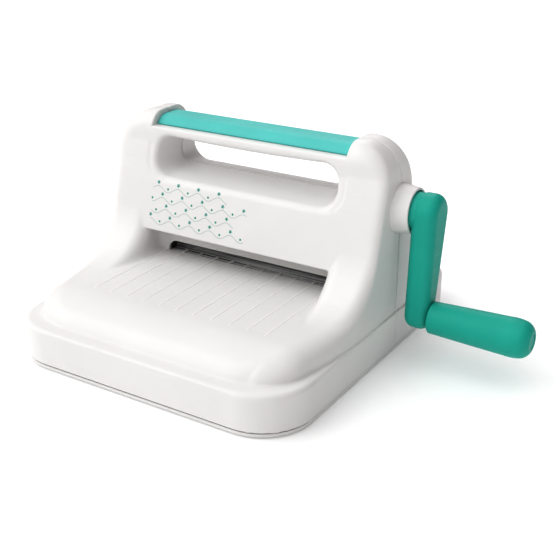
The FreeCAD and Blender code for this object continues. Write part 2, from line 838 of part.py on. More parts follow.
def drive_gear():
    wheel = gear(drive_teeth, 1, upper_axis, 90.0 + 180.0 / drive_teeth, gear_hub)
    middle = (gear_hub / 2.0 + gear_module * drive_teeth / 2.0) / 2.0
    room = gear_module * drive_teeth / 2.0 - gear_hub / 2.0 - 10.0
    for i in range(6):
        a = math.radians(30.0 + 60.0 * i)
        y, z = middle * math.cos(a), upper_axis + middle * math.sin(a)
        wheel = wheel.cut(rod_x(room, -far, far, y, z))
    return one(wheel.removeSplitter())


def crank_shaft():
    # from the inner frame plate out to the arm
    start = frame_in - clip_gap() - clip_thickness - shaft_tail
    end = arm_near + arm_socket
    shaft = rod_x(shaft_diameter, start, gear_near, 0.0, crank_axis)
    shaft = shaft.fuse(flat_shaft(gear_near, gear_far, crank_axis))
    shaft = shaft.fuse(rod_x(shaft_diameter, gear_far, arm_near, 0.0, crank_axis))
    shaft = shaft.fuse(flat_shaft(arm_near, end, crank_axis))
    stop = frame_in - clip_gap() - clip_thickness
    return one(shaft.cut(groove(stop, stop + clip_thickness, crank_axis)).removeSplitter())


def crank_clip():
    return clip_at(frame_in - clip_gap() - clip_thickness, crank_axis)


def crank_collar():
    # white cone fixed on the tower's side, cupped towards the arm
    root, tip = collar_root / 2.0, collar_tip / 2.0
    cone = Part.makeCone(root, tip, collar_length, Vec(side_x, 0, crank_axis), Vec(1, 0, 0))
    rim = [e for e in cone.Edges if e.BoundBox.XMin > collar_end - 0.01]
    cone = cone.makeFillet(0.8, rim)
    cone = cone.fuse(rod_x(collar_spigot, side_x - wall - 1.0, side_x, 0.0, crank_axis))
    cup = collar_tip - 2.0 * collar_wall
    cone = cone.cut(rod_x(cup, collar_end - collar_cup, collar_end + 1.0, 0.0, crank_axis))
    return one(cone.cut(rod_x(bush_outer() + 2.0 * bore_fit, 0.0, far, 0.0, crank_axis)).removeSplitter())


def collar_bush():
    x0, x1 = side_x - wall - 1.0, collar_end - collar_cup
    sleeve = rod_x(bush_outer(), x0, x1, 0.0, crank_axis)
    return sleeve.cut(rod_x(shaft_diameter + 2.0 * running_fit, x0, x1, 0.0, crank_axis))


def crank_arm():
    # tapering lever with fully rounded edges and a boss that enters the collar
    top, low = crank_axis, crank_axis - arm_reach
    r0, r1 = arm_head / 2.0, arm_tail / 2.0
    tilt = math.asin((r0 - r1) / arm_reach)
    c, s = math.cos(tilt), math.sin(tilt)
    x = arm_near
    a, b = Vec(x, -r0 * c, top - r0 * s), Vec(x, -r1 * c, low - r1 * s)
    d, e = Vec(x, r1 * c, low - r1 * s), Vec(x, r0 * c, top - r0 * s)
    edges = [line(a, b), arc(b, Vec(x, 0, low - r1), d), line(d, e), arc(e, Vec(x, 0, top + r0), a)]
    arm = prism(edges, Vec(arm_thickness, 0, 0))
    arm = arm.makeFillet(arm_round, [e for e in arm.Edges if e.BoundBox.XLength < 0.01])
    arm.rotate(Vec(0, 0, crank_axis), Vec(1, 0, 0), -crank_rest)
    boss = collar_tip - 2.0 * collar_wall - 2.0 * arm_boss_gap
    arm = arm.fuse(rod_x(boss, collar_end - collar_cup + arm_cup_gap, arm_near + arm_round, 0.0, top))
    arm = arm.cut(rod_x(shaft_diameter + 2.0 * bore_fit, 0.0, arm_near, 0.0, top))
    arm = arm.cut(flat_bore(arm_near, arm_near + arm_socket, top))
    pin = spindle_diameter + 2.0 * bore_fit
    return one(arm.cut(rod_x(pin, arm_far - spindle_sink, far, knob_y, knob_z)).removeSplitter())


def knob_profile(x, r):
    return Vec(x, knob_y, knob_z + r)


def crank_knob():
    # turned handle, slim at the arm and swelling towards a domed end
    r0, r1 = knob_root / 2.0, knob_swell / 2.0
    swell, dome = knob_near + knob_swell_at, knob_far - knob_dome
    p = [knob_profile(knob_near, 0.0), knob_profile(knob_near, r0 - 1.2), knob_profile(knob_near + 1.2, r0)]
    mid = knob_profile((knob_near + swell) / 2.0, r0 + (r1 - r0) * 0.52)
    crown = (swell + dome) / 2.0
    q = [knob_profile(swell, r1), knob_profile(crown, r1 + 0.2), knob_profile(dome, r1 - 0.4)]
    k = r1 - 0.4
    t = [knob_profile(dome + knob_dome * 0.66, k * 0.84), knob_profile(knob_far, k * 0.55)]
    t = t + [knob_profile(knob_far, 0.0)]
    edges = [line(p[0], p[1]), line(p[1], p[2]), arc(p[2], mid, q[0]), arc(q[0], q[1], q[2])]
    edges = edges + [arc(q[2], t[0], t[1]), line(t[1], t[2]), line(t[2], p[0])]
    face = Part.Face(Part.Wire(edges))
    knob = face.revolve(Vec(0, knob_y, knob_z), Vec(1, 0, 0), 360.0)
    bore = spindle_diameter + 2.0 * running_fit
    knob = knob.cut(rod_x(bore, 0.0, far, knob_y, knob_z))
    depth = knob_recess_depth + cap_thickness
    return one(knob.cut(rod_x(knob_recess, knob_far - depth, far, knob_y, knob_z)))


def spindle_stop():
    return knob_far - knob_recess_depth - cap_thickness + side_play


def knob_spindle():
    # shouldered pin, pressed into the arm
    stop = spindle_stop()
    pin = rod_x(spindle_diameter, arm_far - spindle_sink, stop, knob_y, knob_z)
    head = rod_x(spindle_head, stop, stop + spindle_head_height, knob_y, knob_z)
    return one(pin.fuse(head).removeSplitter())


def knob_cap():
    face = knob_far - 0.4
    return rod_x(knob_recess - 2.0 * cap_fit, face - cap_thickness, face, knob_y, knob_z)


def build():
    parts = {"front_shell": shell_half(-1), "rear_shell": shell_half(1)}
    parts["base_plate"] = base_plate()
    parts["feet"] = feet()
    parts["base_screws"] = base_screws()
    parts["seam_screws"] = seam_screws()
    parts["handle_grip"] = handle_grip()
    parts["left_side_plate"] = side_plate(-1, (lower_axis, upper_axis))
    parts["right_side_plate"] = side_plate(1, (lower_axis, upper_axis, crank_axis))
    parts["frame_screws"] = frame_screws()
    parts["tie_bars"] = tie_bars()
    parts["front_guide"] = guide_plate(-1)
    parts["rear_guide"] = guide_plate(1)
    parts["roller_bushes"] = roller_bushes()
    parts["crank_bush"] = flanged_bush(1, crank_axis)
    parts["upper_roller"] = roller(upper_axis, True, True)
    parts["upper_clips"] = roller_clips(upper_axis, True, True)
    parts["drive_gear"] = drive_gear()
    parts["upper_sync_gear"] = one(gear(sync_teeth, -1, upper_axis, -90.0, gear_hub))
    parts["lower_roller"] = roller(lower_axis, True, False)
    parts["lower_clips"] = roller_clips(lower_axis, True, False)
    parts["lower_sync_gear"] = one(gear(sync_teeth, -1, lower_axis, 90.0 + 180.0 / sync_teeth, gear_hub))
    parts["crank_shaft"] = crank_shaft()
    parts["crank_clip"] = crank_clip()
    parts["crank_pinion"] = one(gear(pinion_teeth, 1, crank_axis, -90.0, pinion_hub))
    parts["crank_collar"] = crank_collar()
    parts["collar_bush"] = collar_bush()
    parts["crank_arm"] = crank_arm()
    parts["knob_spindle"] = knob_spindle()
    parts["crank_knob"] = crank_knob()
    parts["knob_cap"] = knob_cap()
    return parts


os.makedirs("parts", exist_ok=True)
for name, shape in build().items():
    placed = shape.copy()
    placed.translate(Vec(-origin_x, -origin_y, foot_drop))
    placed.exportStep(os.path.join("parts", name + ".step"))
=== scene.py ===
import math

import bpy
import numpy as np
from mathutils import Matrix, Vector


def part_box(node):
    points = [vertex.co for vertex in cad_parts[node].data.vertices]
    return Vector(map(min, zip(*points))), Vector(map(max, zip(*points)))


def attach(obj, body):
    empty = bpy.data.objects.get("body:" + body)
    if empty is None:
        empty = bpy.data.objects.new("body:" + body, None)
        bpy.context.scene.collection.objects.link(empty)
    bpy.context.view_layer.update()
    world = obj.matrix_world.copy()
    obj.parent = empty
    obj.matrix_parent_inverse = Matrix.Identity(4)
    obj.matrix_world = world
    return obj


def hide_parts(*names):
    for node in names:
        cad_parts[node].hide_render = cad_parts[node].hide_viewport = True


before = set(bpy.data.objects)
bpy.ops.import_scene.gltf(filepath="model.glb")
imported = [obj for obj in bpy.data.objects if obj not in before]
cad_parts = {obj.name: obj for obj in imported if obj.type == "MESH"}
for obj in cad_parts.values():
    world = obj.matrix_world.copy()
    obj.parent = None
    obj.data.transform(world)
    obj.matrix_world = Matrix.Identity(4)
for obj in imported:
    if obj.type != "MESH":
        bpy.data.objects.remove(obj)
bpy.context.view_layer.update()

# Base plate: a flat white ABS moulding that closes the housing from below. Its edge shows as a thin lip under
# the shadow line, and screws from below hold it to posts in the two shells.
white = (0.703, 0.697, 0.687)
white_shade = (0.683, 0.677, 0.666)
white_roughness = 0.40
white_grain = 0.00003


def finish_tree(name):
    """A new material: itself, its node tree, its Principled shader and the piece's object coordinates."""
    material = bpy.data.materials.new(name)
    material.use_nodes = True
    tree = material.node_tree
    shader = tree.nodes["Principled BSDF"]
    where = tree.nodes.new("ShaderNodeTexCoord").outputs["Object"]
    return material, tree, shader, where


def stretched(tree, where, factors):
    """Coordinates multiplied by three factors; a small factor draws a pattern out along that axis."""
    node = tree.nodes.new("ShaderNodeMapping")
    node.inputs["Scale"].default_value = factors
    tree.links.new(where, node.inputs["Vector"])
    return node.outputs["Vector"]


def noise(tree, where, cells, detail, fade=0.55):
    """Fractal noise between 0 and 1: so many cells per metre, with finer layers that fade by a factor."""
    node = tree.nodes.new("ShaderNodeTexNoise")
    node.inputs["Scale"].default_value = cells
    node.inputs["Detail"].default_value = detail
    node.inputs["Roughness"].default_value = fade
    tree.links.new(where, node.inputs["Vector"])
    return node.outputs["Fac"]


def spread(tree, value, low, high, start=0.3, end=0.7):
    """A value carried in a straight line from start..end to low..high, and held at both ends."""
    node = tree.nodes.new("ShaderNodeMapRange")
    node.inputs["From Min"].default_value = start
    node.inputs["From Max"].default_value = end
    node.inputs["To Min"].default_value = low
    node.inputs["To Max"].default_value = high
    tree.links.new(value, node.inputs["Value"])
    return node.outputs["Result"]


def two_tone(tree, share, first, second):
    """A colour between two, by a share from 0 to 1."""
    node = tree.nodes.new("ShaderNodeMix")
    node.data_type = "RGBA"
    tree.links.new(share, node.inputs["Factor"])
    node.inputs[6].default_value = (*first, 1.0)
    node.inputs[7].default_value = (*second, 1.0)
    return node.outputs[2]


def relief(tree, shader, height, depth, strength):
    """Bump of a given depth in metres on the shader's normal."""
    node = tree.nodes.new("ShaderNodeBump")
    node.inputs["Strength"].default_value = strength
    node.inputs["Distance"].default_value = depth
    tree.links.new(height, node.inputs["Height"])
    tree.links.new(node.outputs["Normal"], shader.inputs["Normal"])


def moulded_plastic(name, colour, shade, roughness, grain, shine=0.5):
    """Injection-moulded plastic: faint mottling in the colour, handling scuffs drawn out along the feed
    direction in the gloss, and the fine grain of a spark-eroded mould in the relief."""
    along_feed = (1.0, 0.12, 1.0)
    material, tree, shader, where = finish_tree(name)
    shader.inputs["Specular IOR Level"].default_value = shine
    mottle = spread(tree, noise(tree, where, cells=22.0, detail=3.0), low=0.0, high=1.0)
    tree.links.new(two_tone(tree, mottle, colour, shade), shader.inputs["Base Color"])
    scuff = noise(tree, stretched(tree, where, along_feed), cells=420.0, detail=4.0)
    tree.links.new(spread(tree, scuff, roughness - 0.05, roughness + 0.08), shader.inputs["Roughness"])
    relief(tree, shader, noise(tree, where, cells=2600.0, detail=2.0), depth=grain, strength=0.35)
    return material


def dress(nodes, material):
    """Gives CAD nodes their finish."""
    for node in nodes:
        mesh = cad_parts[node].data
        mesh.materials.clear()
        mesh.materials.append(material)


white_plastic = moulded_plastic("white_plastic", white, white_shade, white_roughness, white_grain)
dress(["base_plate"], white_plastic)

# Feet: four round pads of black rubber with a matt skin, glued into shallow seats under the plate.
# They keep the machine from sliding while the crank is turned.
rubber_black = (0.018, 0.018, 0.018)
rubber_worn = (0.035, 0.034, 0.033)
foot_rubber, tree, shader, where = finish_tree("foot_rubber")
wear = noise(tree, where, cells=160.0, detail=4.0)
gloss = noise(tree, where, cells=700.0, detail=3.0)
tree.links.new(two_tone(tree, wear, rubber_black, rubber_worn), shader.inputs["Base Color"])
tree.links.new(spread(tree, gloss, low=0.72, high=0.92), shader.inputs["Roughness"])
relief(tree, shader, noise(tree, where, cells=1800.0, detail=3.0), depth=0.00008, strength=0.5)
dress(["feet"], foot_rubber)

# Steel frame: two pressed side plates and turned tie bars, zinc plated, that take the force of the rollers.
# The plates stand on the base plate on turned-out feet and are screwed to it.
zinc_light = (0.78, 0.78, 0.78)
zinc_dark = (0.62, 0.62, 0.62)


def plated_steel(name, light, dark, roughness, along, metal=1.0):
    """Plated or ground steel: fine streaks along the working direction in gloss and relief, and dull
    blotches between a light and a dark tone in the colour."""
    material, tree, shader, where = finish_tree(name)
    shader.inputs["Metallic"].default_value = metal
    streak = noise(tree, stretched(tree, where, along), cells=900.0, detail=4.0)
    blotch = noise(tree, where, cells=70.0, detail=5.0)
    tree.links.new(two_tone(tree, blotch, light, dark), shader.inputs["Base Color"])
    tree.links.new(spread(tree, streak, roughness - 0.08, roughness + 0.12), shader.inputs["Roughness"])
    relief(tree, shader, streak, depth=0.00002, strength=0.3)
    return material


zinc_sheet = plated_steel("zinc_sheet", zinc_light, zinc_dark, roughness=0.52, along=(0.06, 1.0, 1.0),
                          metal=0.7)
dress(["left_side_plate", "right_side_plate", "tie_bars"], zinc_sheet)

# Guides: two angle strips folded from thin plated sheet, fixed between the side plates, that carry the card
# to the rollers. Long bright and dark lines in the sheet's colour are painted reflections, streaks of light.
painted_reflection_dark = (0.12, 0.12, 0.12)
painted_reflection_bright = (0.95, 0.95, 0.95)
reflection_streaked_steel, tree, shader, where = finish_tree("reflection_streaked_steel")
shader.inputs["Metallic"].default_value = 0.3
line = noise(tree, stretched(tree, where, (0.012, 1.0, 1.0)), cells=620.0, detail=2.0)
painted_reflection_share = spread(tree, line, low=0.0, high=1.0, start=0.4, end=0.6)
# Painted reflection: the colour runs between dark and bright in lengthwise streaks.
tree.links.new(two_tone(tree, painted_reflection_share, painted_reflection_dark, painted_reflection_bright), shader.inputs["Base Color"])
tree.links.new(spread(tree, line, low=0.35, high=0.55), shader.inputs["Roughness"])
relief(tree, shader, line, depth=0.00003, strength=0.3)
dress(["front_guide", "rear_guide"], reflection_streaked_steel)

# Bushes: sleeves of sintered bronze, pressed in: flanged ones in the side plates and a plain one in the
# collar. Oil held in the bronze darkens it in patches.
bronze_light = (0.50, 0.33, 0.15)
bronze_oiled = (0.34, 0.22, 0.10)
oiled_bronze, tree, shader, where = finish_tree("oiled_bronze")
shader.inputs["Metallic"].default_value = 1.0
oil = noise(tree, where, cells=300.0, detail=5.0)
gloss = noise(tree, where, cells=900.0, detail=4.0)
tree.links.new(two_tone(tree, oil, bronze_light, bronze_oiled), shader.inputs["Base Color"])
tree.links.new(spread(tree, gloss, low=0.4, high=0.62), shader.inputs["Roughness"])
relief(tree, shader, noise(tree, where, cells=3000.0, detail=2.0), depth=0.00003, strength=0.4)
dress(["roller_bushes", "crank_bush", "collar_bush"], oiled_bronze)

# Rollers and shafts: solid steel bars with turned ends that run in the bushes. The rollers carry the same
# painted reflections as the guides, bright and dark lengthwise lines in the colour; the crank's shaft and
# the knob's pin are ground bright.
ground_light = (0.92, 0.92, 0.93)
ground_dark = (0.74, 0.74, 0.75)
ground_steel = plated_steel("ground_steel", ground_light, ground_dark, roughness=0.3, along=(0.05, 1.0, 1.0),
                            metal=0.3)
dress(["upper_roller", "lower_roller"], reflection_streaked_steel)
dress(["crank_shaft", "knob_spindle"], ground_steel)

# Gears: hobbed steel wheels, held on flats of the shafts, that slow the crank and turn the rollers against
# each other. Dark grease is left on the teeth.
gear_grey = (0.33, 0.33, 0.34)
grease_brown = (0.10, 0.085, 0.06)
greased_gear, tree, shader, where = finish_tree("greased_gear")
shader.inputs["Metallic"].default_value = 1.0
grease = spread(tree, noise(tree, where, cells=140.0, detail=5.0), low=0.0, high=1.0, start=0.42, end=0.62)
gloss = noise(tree, where, cells=600.0, detail=4.0)
tree.links.new(two_tone(tree, grease, gear_grey, grease_brown), shader.inputs["Base Color"])
tree.links.new(spread(tree, gloss, low=0.25, high=0.5), shader.inputs["Roughness"])
relief(tree, shader, noise(tree, where, cells=900.0, detail=3.0), depth=0.00005, strength=0.4)
dress(["drive_gear", "upper_sync_gear", "lower_sync_gear", "crank_pinion"], greased_gear)

# Screws and rings: turned and stamped steel fixings, plated. Screws join plate, frame and shells, and rings
# in grooves hold the shafts endways.
fixing_light = (0.50, 0.50, 0.51)
fixing_dark = (0.38, 0.38, 0.39)
fixing_steel = plated_steel("fixing_steel", fixing_light, fixing_dark, roughness=0.34, along=(1.0, 1.0, 0.2))
dress(["base_screws", "seam_screws", "frame_screws"], fixing_steel)
dress(["upper_clips", "lower_clips", "crank_clip"], fixing_steel)

# Housing: two white ABS mouldings, front and rear, that meet on the seam plane. Each has a leaning tower face
# with a carrying opening, pillars that sweep down to the table, a rim round the base and a recess with the
# slot. The skin is worked out as a field of distances in millimetres, negative inside, and drawn at zero.
seam_y = (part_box("crank_collar")[0].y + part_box("crank_collar")[1].y) / 2.0
middle_x = (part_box("base_plate")[0].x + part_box("base_plate")[1].x) / 2.0
plate_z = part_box("base_plate")[0].z

body = dict(half_width=135.0, corner=43.0, rim=34.0, rim_round=4.5, bottom=3.5, top=179.0, top_half=20.5,
            lean=math.radians(14.5), top_round=18.0, side=133.4, shoulder=32.0, sweep=400.0, plan_corner=40.0,
            table_round=20.0, fall=0.012, level=53.5, recess=27.0, seam=0.3, seam_round=1.1)
halves = dict(
    front=dict(sign=-1.0, end=183.0, reach=178.0, ramp=60.0, drop=78.0, straight=60.0, side_round=8.0,
               slot_right=89.0, rib_end=126.0),
    rear=dict(sign=1.0, end=129.0, reach=124.0, ramp=32.0, drop=60.0, straight=48.0, side_round=18.0,
              slot_right=83.0, rib_end=78.0))
pillar = dict(x=91.5, edge=12.0, foot=6.0, foot_growth=0.45)
panel = dict(low=78.3, edge=1.5, fill=1.2)
slot = dict(left=83.0, low=53.5, high=63.8, corner=9.8, depth=29.0, edge=0.4)
hand = dict(half=91.0, low=125.5, high=161.5, corner=15.0, tighter=0.4, inset=7.0, rise=6.5, fall=7.5,
            bow=2.5, depth=30.0, before=-0.1, beyond=1.6, edge=3.5)
pocket = dict(half=98.5, low=122.5, corner=16.0, depth=0.6, border=1.6)
seat = dict(half=96.2, low=167.0, depth=7.0, edge=1.2)
ledge = dict(edge_share=0.5, least_edge=0.5, fill_share=0.3, most_fill=1.8)
wall = dict(thin=3.0, slot_reach=20.0, slot_fade=10.0, side_from=88.0, side_fade=6.0, more=1.5,
            end_from=90.0, end_fade=10.0, end_more=3.0)
screw = dict(x=122.0, heights=(95.0, 150.0), hole=4.2, post=7.6, seat=4.0, edge=0.6)
shaft = dict(z=125.5, hole=15.2, side=100.0)
sharp_corner = 0.01


def placed(points):
    """Millimetres from the middle of the body, the seam and the plate's underside, as the frame's metres."""
    return np.asarray(points, float) / 1000.0 + np.array([middle_x, seam_y, plate_z])


def both(a, b, r):
    """Where two solids overlap, with the edge rounded to a radius: at the corner a circle joins the two."""
    return np.minimum(np.maximum(a, b), -r) + np.hypot(np.maximum(a + r, 0.0), np.maximum(b + r, 0.0))


def either(a, b, r):
    """Two solids joined, with the inner corner filled to a radius."""
    return -both(-a, -b, r)


def rounded_box(x, y, half_x, half_y, corner):
    """Distance to a rectangle with rounded corners: to the circle at a corner, or to the nearest side."""
    px = x - half_x + corner
    py = y - half_y + corner
    return np.hypot(np.maximum(px, 0.0), np.maximum(py, 0.0)) + np.minimum(np.maximum(px, py), 0.0) - corner


def tower_face(ax, u, z):
    """The leaning plane, sunk by a shallow step with a soft border round the carrying opening."""
    lean = body["lean"]
    step = both(ax - pocket["half"], pocket["low"] - z, pocket["corner"])
    step = np.clip(0.5 - step / pocket["border"], 0.0, 1.0)
    plane = (u - body["top_half"] - math.tan(lean) * (body["top"] - z)) * math.cos(lean)
    return plane + pocket["depth"] * step * step * (3.0 - 2.0 * step)


def table_top(h, u, z):
    """The nearly level table, whose end is an arc that falls to the rim. Also gives where the arc starts."""
    flat = math.atan(body["fall"])
    plane = (z - body["level"] + body["fall"] * (u - body["recess"])) * math.cos(flat)
    down = body["level"] - body["fall"] * (h["reach"] - body["recess"]) - body["rim"]
    start = h["reach"] - math.sqrt(2.0 * h["drop"] * down - down * down)
    centre_u = start - h["drop"] * math.sin(flat)
    centre_z = body["level"] - body["fall"] * (start - body["recess"]) - h["drop"] * math.cos(flat)
    arc = np.hypot(u - centre_u, z - centre_z) - h["drop"]
    return np.where(u > start, arc, plane), start


def pillar_sweep(h, face, table, u, z):
    """The pillars' hollow front: a circle that touches face and table, and those two beyond its arc.
    Also gives how far out the arc begins."""
    lean, flat, ramp = body["lean"], math.atan(body["fall"]), h["ramp"]
    fu, fz, tu, tz = math.cos(lean), math.sin(lean), math.sin(flat), math.cos(flat)
    face_sum = ramp + fu * body["top_half"] + fz * body["top"]
    table_sum = ramp + tu * body["recess"] + tz * body["level"]
    span = fu * tz - fz * tu
    centre_u = (face_sum * tz - fz * table_sum) / span
    centre_z = (fu * table_sum - face_sum * tu) / span
    du, dz = u - centre_u, z - centre_z
    on_arc = (-fu * dz + fz * du >= 0.0) & (-du * tz + dz * tu >= 0.0)
    return np.where(on_arc, ramp - np.hypot(du, dz), np.minimum(face, table)), centre_u - ramp * fu


def carrying_opening(ax, u, z):
    """A rounded hole that flares from the seam to the face and whose upper edge bows down in the middle."""
    less = 1.0 - np.clip(u / hand["depth"], hand["before"], hand["beyond"])
    wide = hand["half"] - hand["inset"] * less
    corner = hand["corner"] * (1.0 - hand["tighter"] * less)
    bow = hand["bow"] * 0.5 * (1.0 + less) * np.clip(1.0 - (ax / (wide - corner)) ** 2, 0.0, 1.0)
    low = hand["low"] + hand["rise"] * less
    high = hand["high"] - hand["fall"] * less - bow
    return rounded_box(ax, np.abs(z - (low + high) / 2.0), wide, (high - low) / 2.0, corner)


def bar_flat():
    """Half the width of the bar's flat top: what the two rounds that touch the leaning faces leave over."""
    lean = body["lean"]
    return body["top_half"] - body["top_round"] * (1.0 / math.cos(lean) - math.tan(lean))


def grip_seat(ax, y, z):
    """The hollow in which the grip lies: all that is outside a rounded bar, between two end walls."""
    off_round = np.hypot(np.maximum(np.abs(y) - bar_flat(), 0.0), z - body["top"] + body["top_round"])
    bar = off_round - body["top_round"] + seat["depth"]
    return np.maximum(np.maximum(ax - seat["half"], seat["low"] - z), -bar)


def housing_field(half, x, y, z):
    """Outer form of one half: panel, table and pillars joined, cut to the outline from above with edges that
    grow rounder towards the table's end, then joined to the rim and cut by opening and grip's seat."""
    h = halves[half]
    u, ax = h["sign"] * y, np.abs(x)
    face = tower_face(ax, u, z)
    table, start = table_top(h, u, z)
    sweep, near = pillar_sweep(h, face, table, u, z)
    middle = np.minimum(both(face, panel["low"] - z, panel["edge"]), u - body["recess"])
    middle = either(middle, table, panel["fill"])
    foot = np.clip(pillar["foot_growth"] * np.maximum(middle - sweep, 0.0), sharp_corner, pillar["foot"])
    form = either(middle, both(sweep, pillar["x"] - ax, pillar["edge"]), foot)
    curved_side = np.hypot(ax - body["side"] + body["sweep"], u - h["straight"]) - body["sweep"]
    side = np.where(u > h["straight"], curved_side, ax - body["side"])
    plan = both(side, u - h["reach"], body["plan_corner"])
    outline = both(plan, z - body["top"], body["shoulder"])
    share = np.clip((u - near) / (start - near), 0.0, 1.0)
    bend = np.arctan2(np.maximum(z - body["top"] + body["shoulder"], 0.0),
                      np.maximum(ax - body["side"] + body["shoulder"], 1e-6))
    edge = h["side_round"] + (body["top_round"] - h["side_round"]) * bend * 2.0 / math.pi
    form = both(outline, form, edge + (body["table_round"] - edge) * share)
    middle_y = (halves["rear"]["end"] - halves["front"]["end"]) / 2.0
    half_depth = (halves["rear"]["end"] + halves["front"]["end"]) / 2.0
    base = rounded_box(ax, np.abs(y - middle_y), body["half_width"], half_depth, body["corner"])
    shelf = plan - base
    rim_edge = np.clip(ledge["edge_share"] * shelf, ledge["least_edge"], body["rim_round"])
    rim = both(base, z - body["rim"], rim_edge)
    form = either(form, rim, np.clip(ledge["fill_share"] * shelf, sharp_corner, ledge["most_fill"]))
    form = both(form, -carrying_opening(ax, u, z), hand["edge"])
    return both(form, -grip_seat(ax, y, z), seat["edge"])


def housing_wall(half, x, y, z):
    """The moulded wall: the outer form less itself drawn in by the wall, cut at the seam and below, with the
    slot, the collar's hole and, at the rear, hollow posts for the screws."""
    h = halves[half]
    outer = housing_field(half, x, y, z)
    u, ax = h["sign"] * y, np.abs(x)
    off_slot = (np.hypot(u - body["recess"], z - slot["high"]) - wall["slot_reach"]) / wall["slot_fade"]
    off_middle = (ax - wall["side_from"]) / wall["side_fade"]
    to_end = (u - wall["end_from"]) / wall["end_fade"]
    thick = wall["thin"] + wall["more"] * np.clip(np.maximum(off_slot, off_middle), 0.0, 1.0)
    thick = thick + wall["end_more"] * np.clip(to_end, 0.0, 1.0)
    past_seam = body["seam"] - u
    skin = both(np.maximum(outer, -(outer + thick)), past_seam, sharp_corner)
    skin = np.maximum(skin, both(outer, past_seam, body["seam_round"]))
    if half == "rear":
        for height in screw["heights"]:
            off_axis = np.hypot(ax - screw["x"], z - height)
            skin = np.minimum(skin, np.maximum(np.maximum(off_axis - screw["post"], outer), past_seam))
            skin = both(skin, -np.maximum(off_axis - screw["hole"], screw["seat"] - u), screw["edge"])
    slot_ends = np.maximum(x - h["slot_right"], -x - slot["left"])
    gap = np.maximum(both(slot_ends, z - slot["high"], slot["corner"]), slot["low"] - z)
    skin = both(skin, -np.maximum(gap, u - slot["depth"]), slot["edge"])
    skin = np.maximum(skin, -np.maximum(np.hypot(y, z - shaft["z"]) - shaft["hole"], shaft["side"] - x))
    return np.maximum(skin, body["bottom"] - z)


def marks(low, high, step, crisp):
    """Grid positions along one axis: an even step that shrinks by degrees towards each crisp edge, which is
    given as its place, the half width of its fine band and the step there."""
    growth = 0.45
    found = [low]
    while found[-1] < high:
        close = [fine + growth * max(abs(found[-1] - place) - band, 0.0) for place, band, fine in crisp]
        found.append(found[-1] + min([step] + close))
    return np.array(found)


def skin_of(field, axes):
    """Quads where a field changes sign on a grid: one point in each cell that the surface crosses, set to the
    mean of the crossings on the cell's edges, then moved along the field's slope until the field is zero.
    Each grid edge that the surface crosses gives a quad between the points of its four cells."""
    settle_steps, probe, least_slope, margin = 4, 0.02, 0.2, 0.05
    value = field(axes[0][:, None, None], axes[1][None, :, None], axes[2][None, None, :])
    inside = value < 0.0
    nx, ny, nz = (n - 1 for n in inside.shape)
    count = sum(inside[i:nx + i, j:ny + j, k:nz + k].astype(np.int8)
                for i in (0, 1) for j in (0, 1) for k in (0, 1))
    cell = np.argwhere((count > 0) & (count < 8))
    number = np.full(count.shape, -1, np.int64)
    number[tuple(cell.T)] = np.arange(len(cell))

    def position(index):
        """Places of grid points, from their three numbers."""
        return np.stack([axes[n][index[:, n]] for n in range(3)], 1)

    total, crossings = np.zeros((len(cell), 3)), np.zeros(len(cell))
    for axis in range(3):
        first, second = [a for a in range(3) if a != axis]
        for first_side, second_side in ((0, 0), (0, 1), (1, 0), (1, 1)):
            start = cell.copy()
            start[:, first] += first_side
            start[:, second] += second_side
            end = start.copy()
            end[:, axis] += 1
            at_start, at_end = value[tuple(start.T)], value[tuple(end.T)]
            cut = (at_start < 0.0) != (at_end < 0.0)
            share = np.where(cut, at_start / np.where(cut, at_start - at_end, 1.0), 0.0)
            met = position(start) + (position(end) - position(start)) * share[:, None]
            total += np.where(cut[:, None], met, 0.0)
            crossings += cut
    points = total / crossings[:, None]
    low, high = position(cell), position(cell + 1)
    for step in range(settle_steps):
        here = field(*points.T)
        slope = [field(*(points + probe * np.eye(3)[n]).T) - here for n in range(3)]
        slope = np.stack(slope, 1) / probe
        points = points - here[:, None] * slope / np.maximum((slope ** 2).sum(1), least_slope)[:, None]
        points = np.clip(points, (1.0 - margin) * low + margin * high, margin * low + (1.0 - margin) * high)
    quads = []
    for axis in range(3):
        first, second = [a for a in range(3) if a != axis]
        lower, upper = [slice(1, -1)] * 3, [slice(1, -1)] * 3
        lower[axis], upper[axis] = slice(0, -1), slice(1, None)
        leaving = inside[tuple(lower)]
        edge = np.argwhere(leaving != inside[tuple(upper)])
        outward = leaving[tuple(edge.T)] == (axis != 1)
        edge[:, first] += 1
        edge[:, second] += 1
        ring = []
        for first_back, second_back in ((1, 1), (0, 1), (0, 0), (1, 0)):
            beside = edge.copy()
            beside[:, first] -= first_back
            beside[:, second] -= second_back
            ring.append(number[tuple(beside.T)])
        ring = np.stack(ring, 1)
        quads.append(np.where(outward[:, None], ring, ring[:, ::-1]))
    return points, np.concatenate(quads)


def mesh_piece(name, points, faces, material, crease=None):
    """A named object from points in metres and arrays of faces, smooth apart from edges over an angle."""
    mesh = bpy.data.meshes.new(name)
    faces = [np.asarray(group, np.int32) for group in faces]
    loops = np.concatenate([group.ravel() for group in faces])
    sides = np.concatenate([np.full(len(group), group.shape[1], np.int32) for group in faces])
    mesh.vertices.add(len(points))
    mesh.vertices.foreach_set("co", np.asarray(points, np.float32).ravel())
    mesh.loops.add(loops.size)
    mesh.loops.foreach_set("vertex_index", loops)
    mesh.polygons.add(sides.size)
    mesh.polygons.foreach_set("loop_start", (np.cumsum(sides) - sides).astype(np.int32))
    mesh.update(calc_edges=True)
    mesh.validate()
    mesh.shade_smooth()
    if crease:
        mesh.set_sharp_from_angle(angle=math.radians(crease))
    mesh.materials.append(material)
    piece = bpy.data.objects.new(name, mesh)
    bpy.context.scene.collection.objects.link(piece)
    return piece


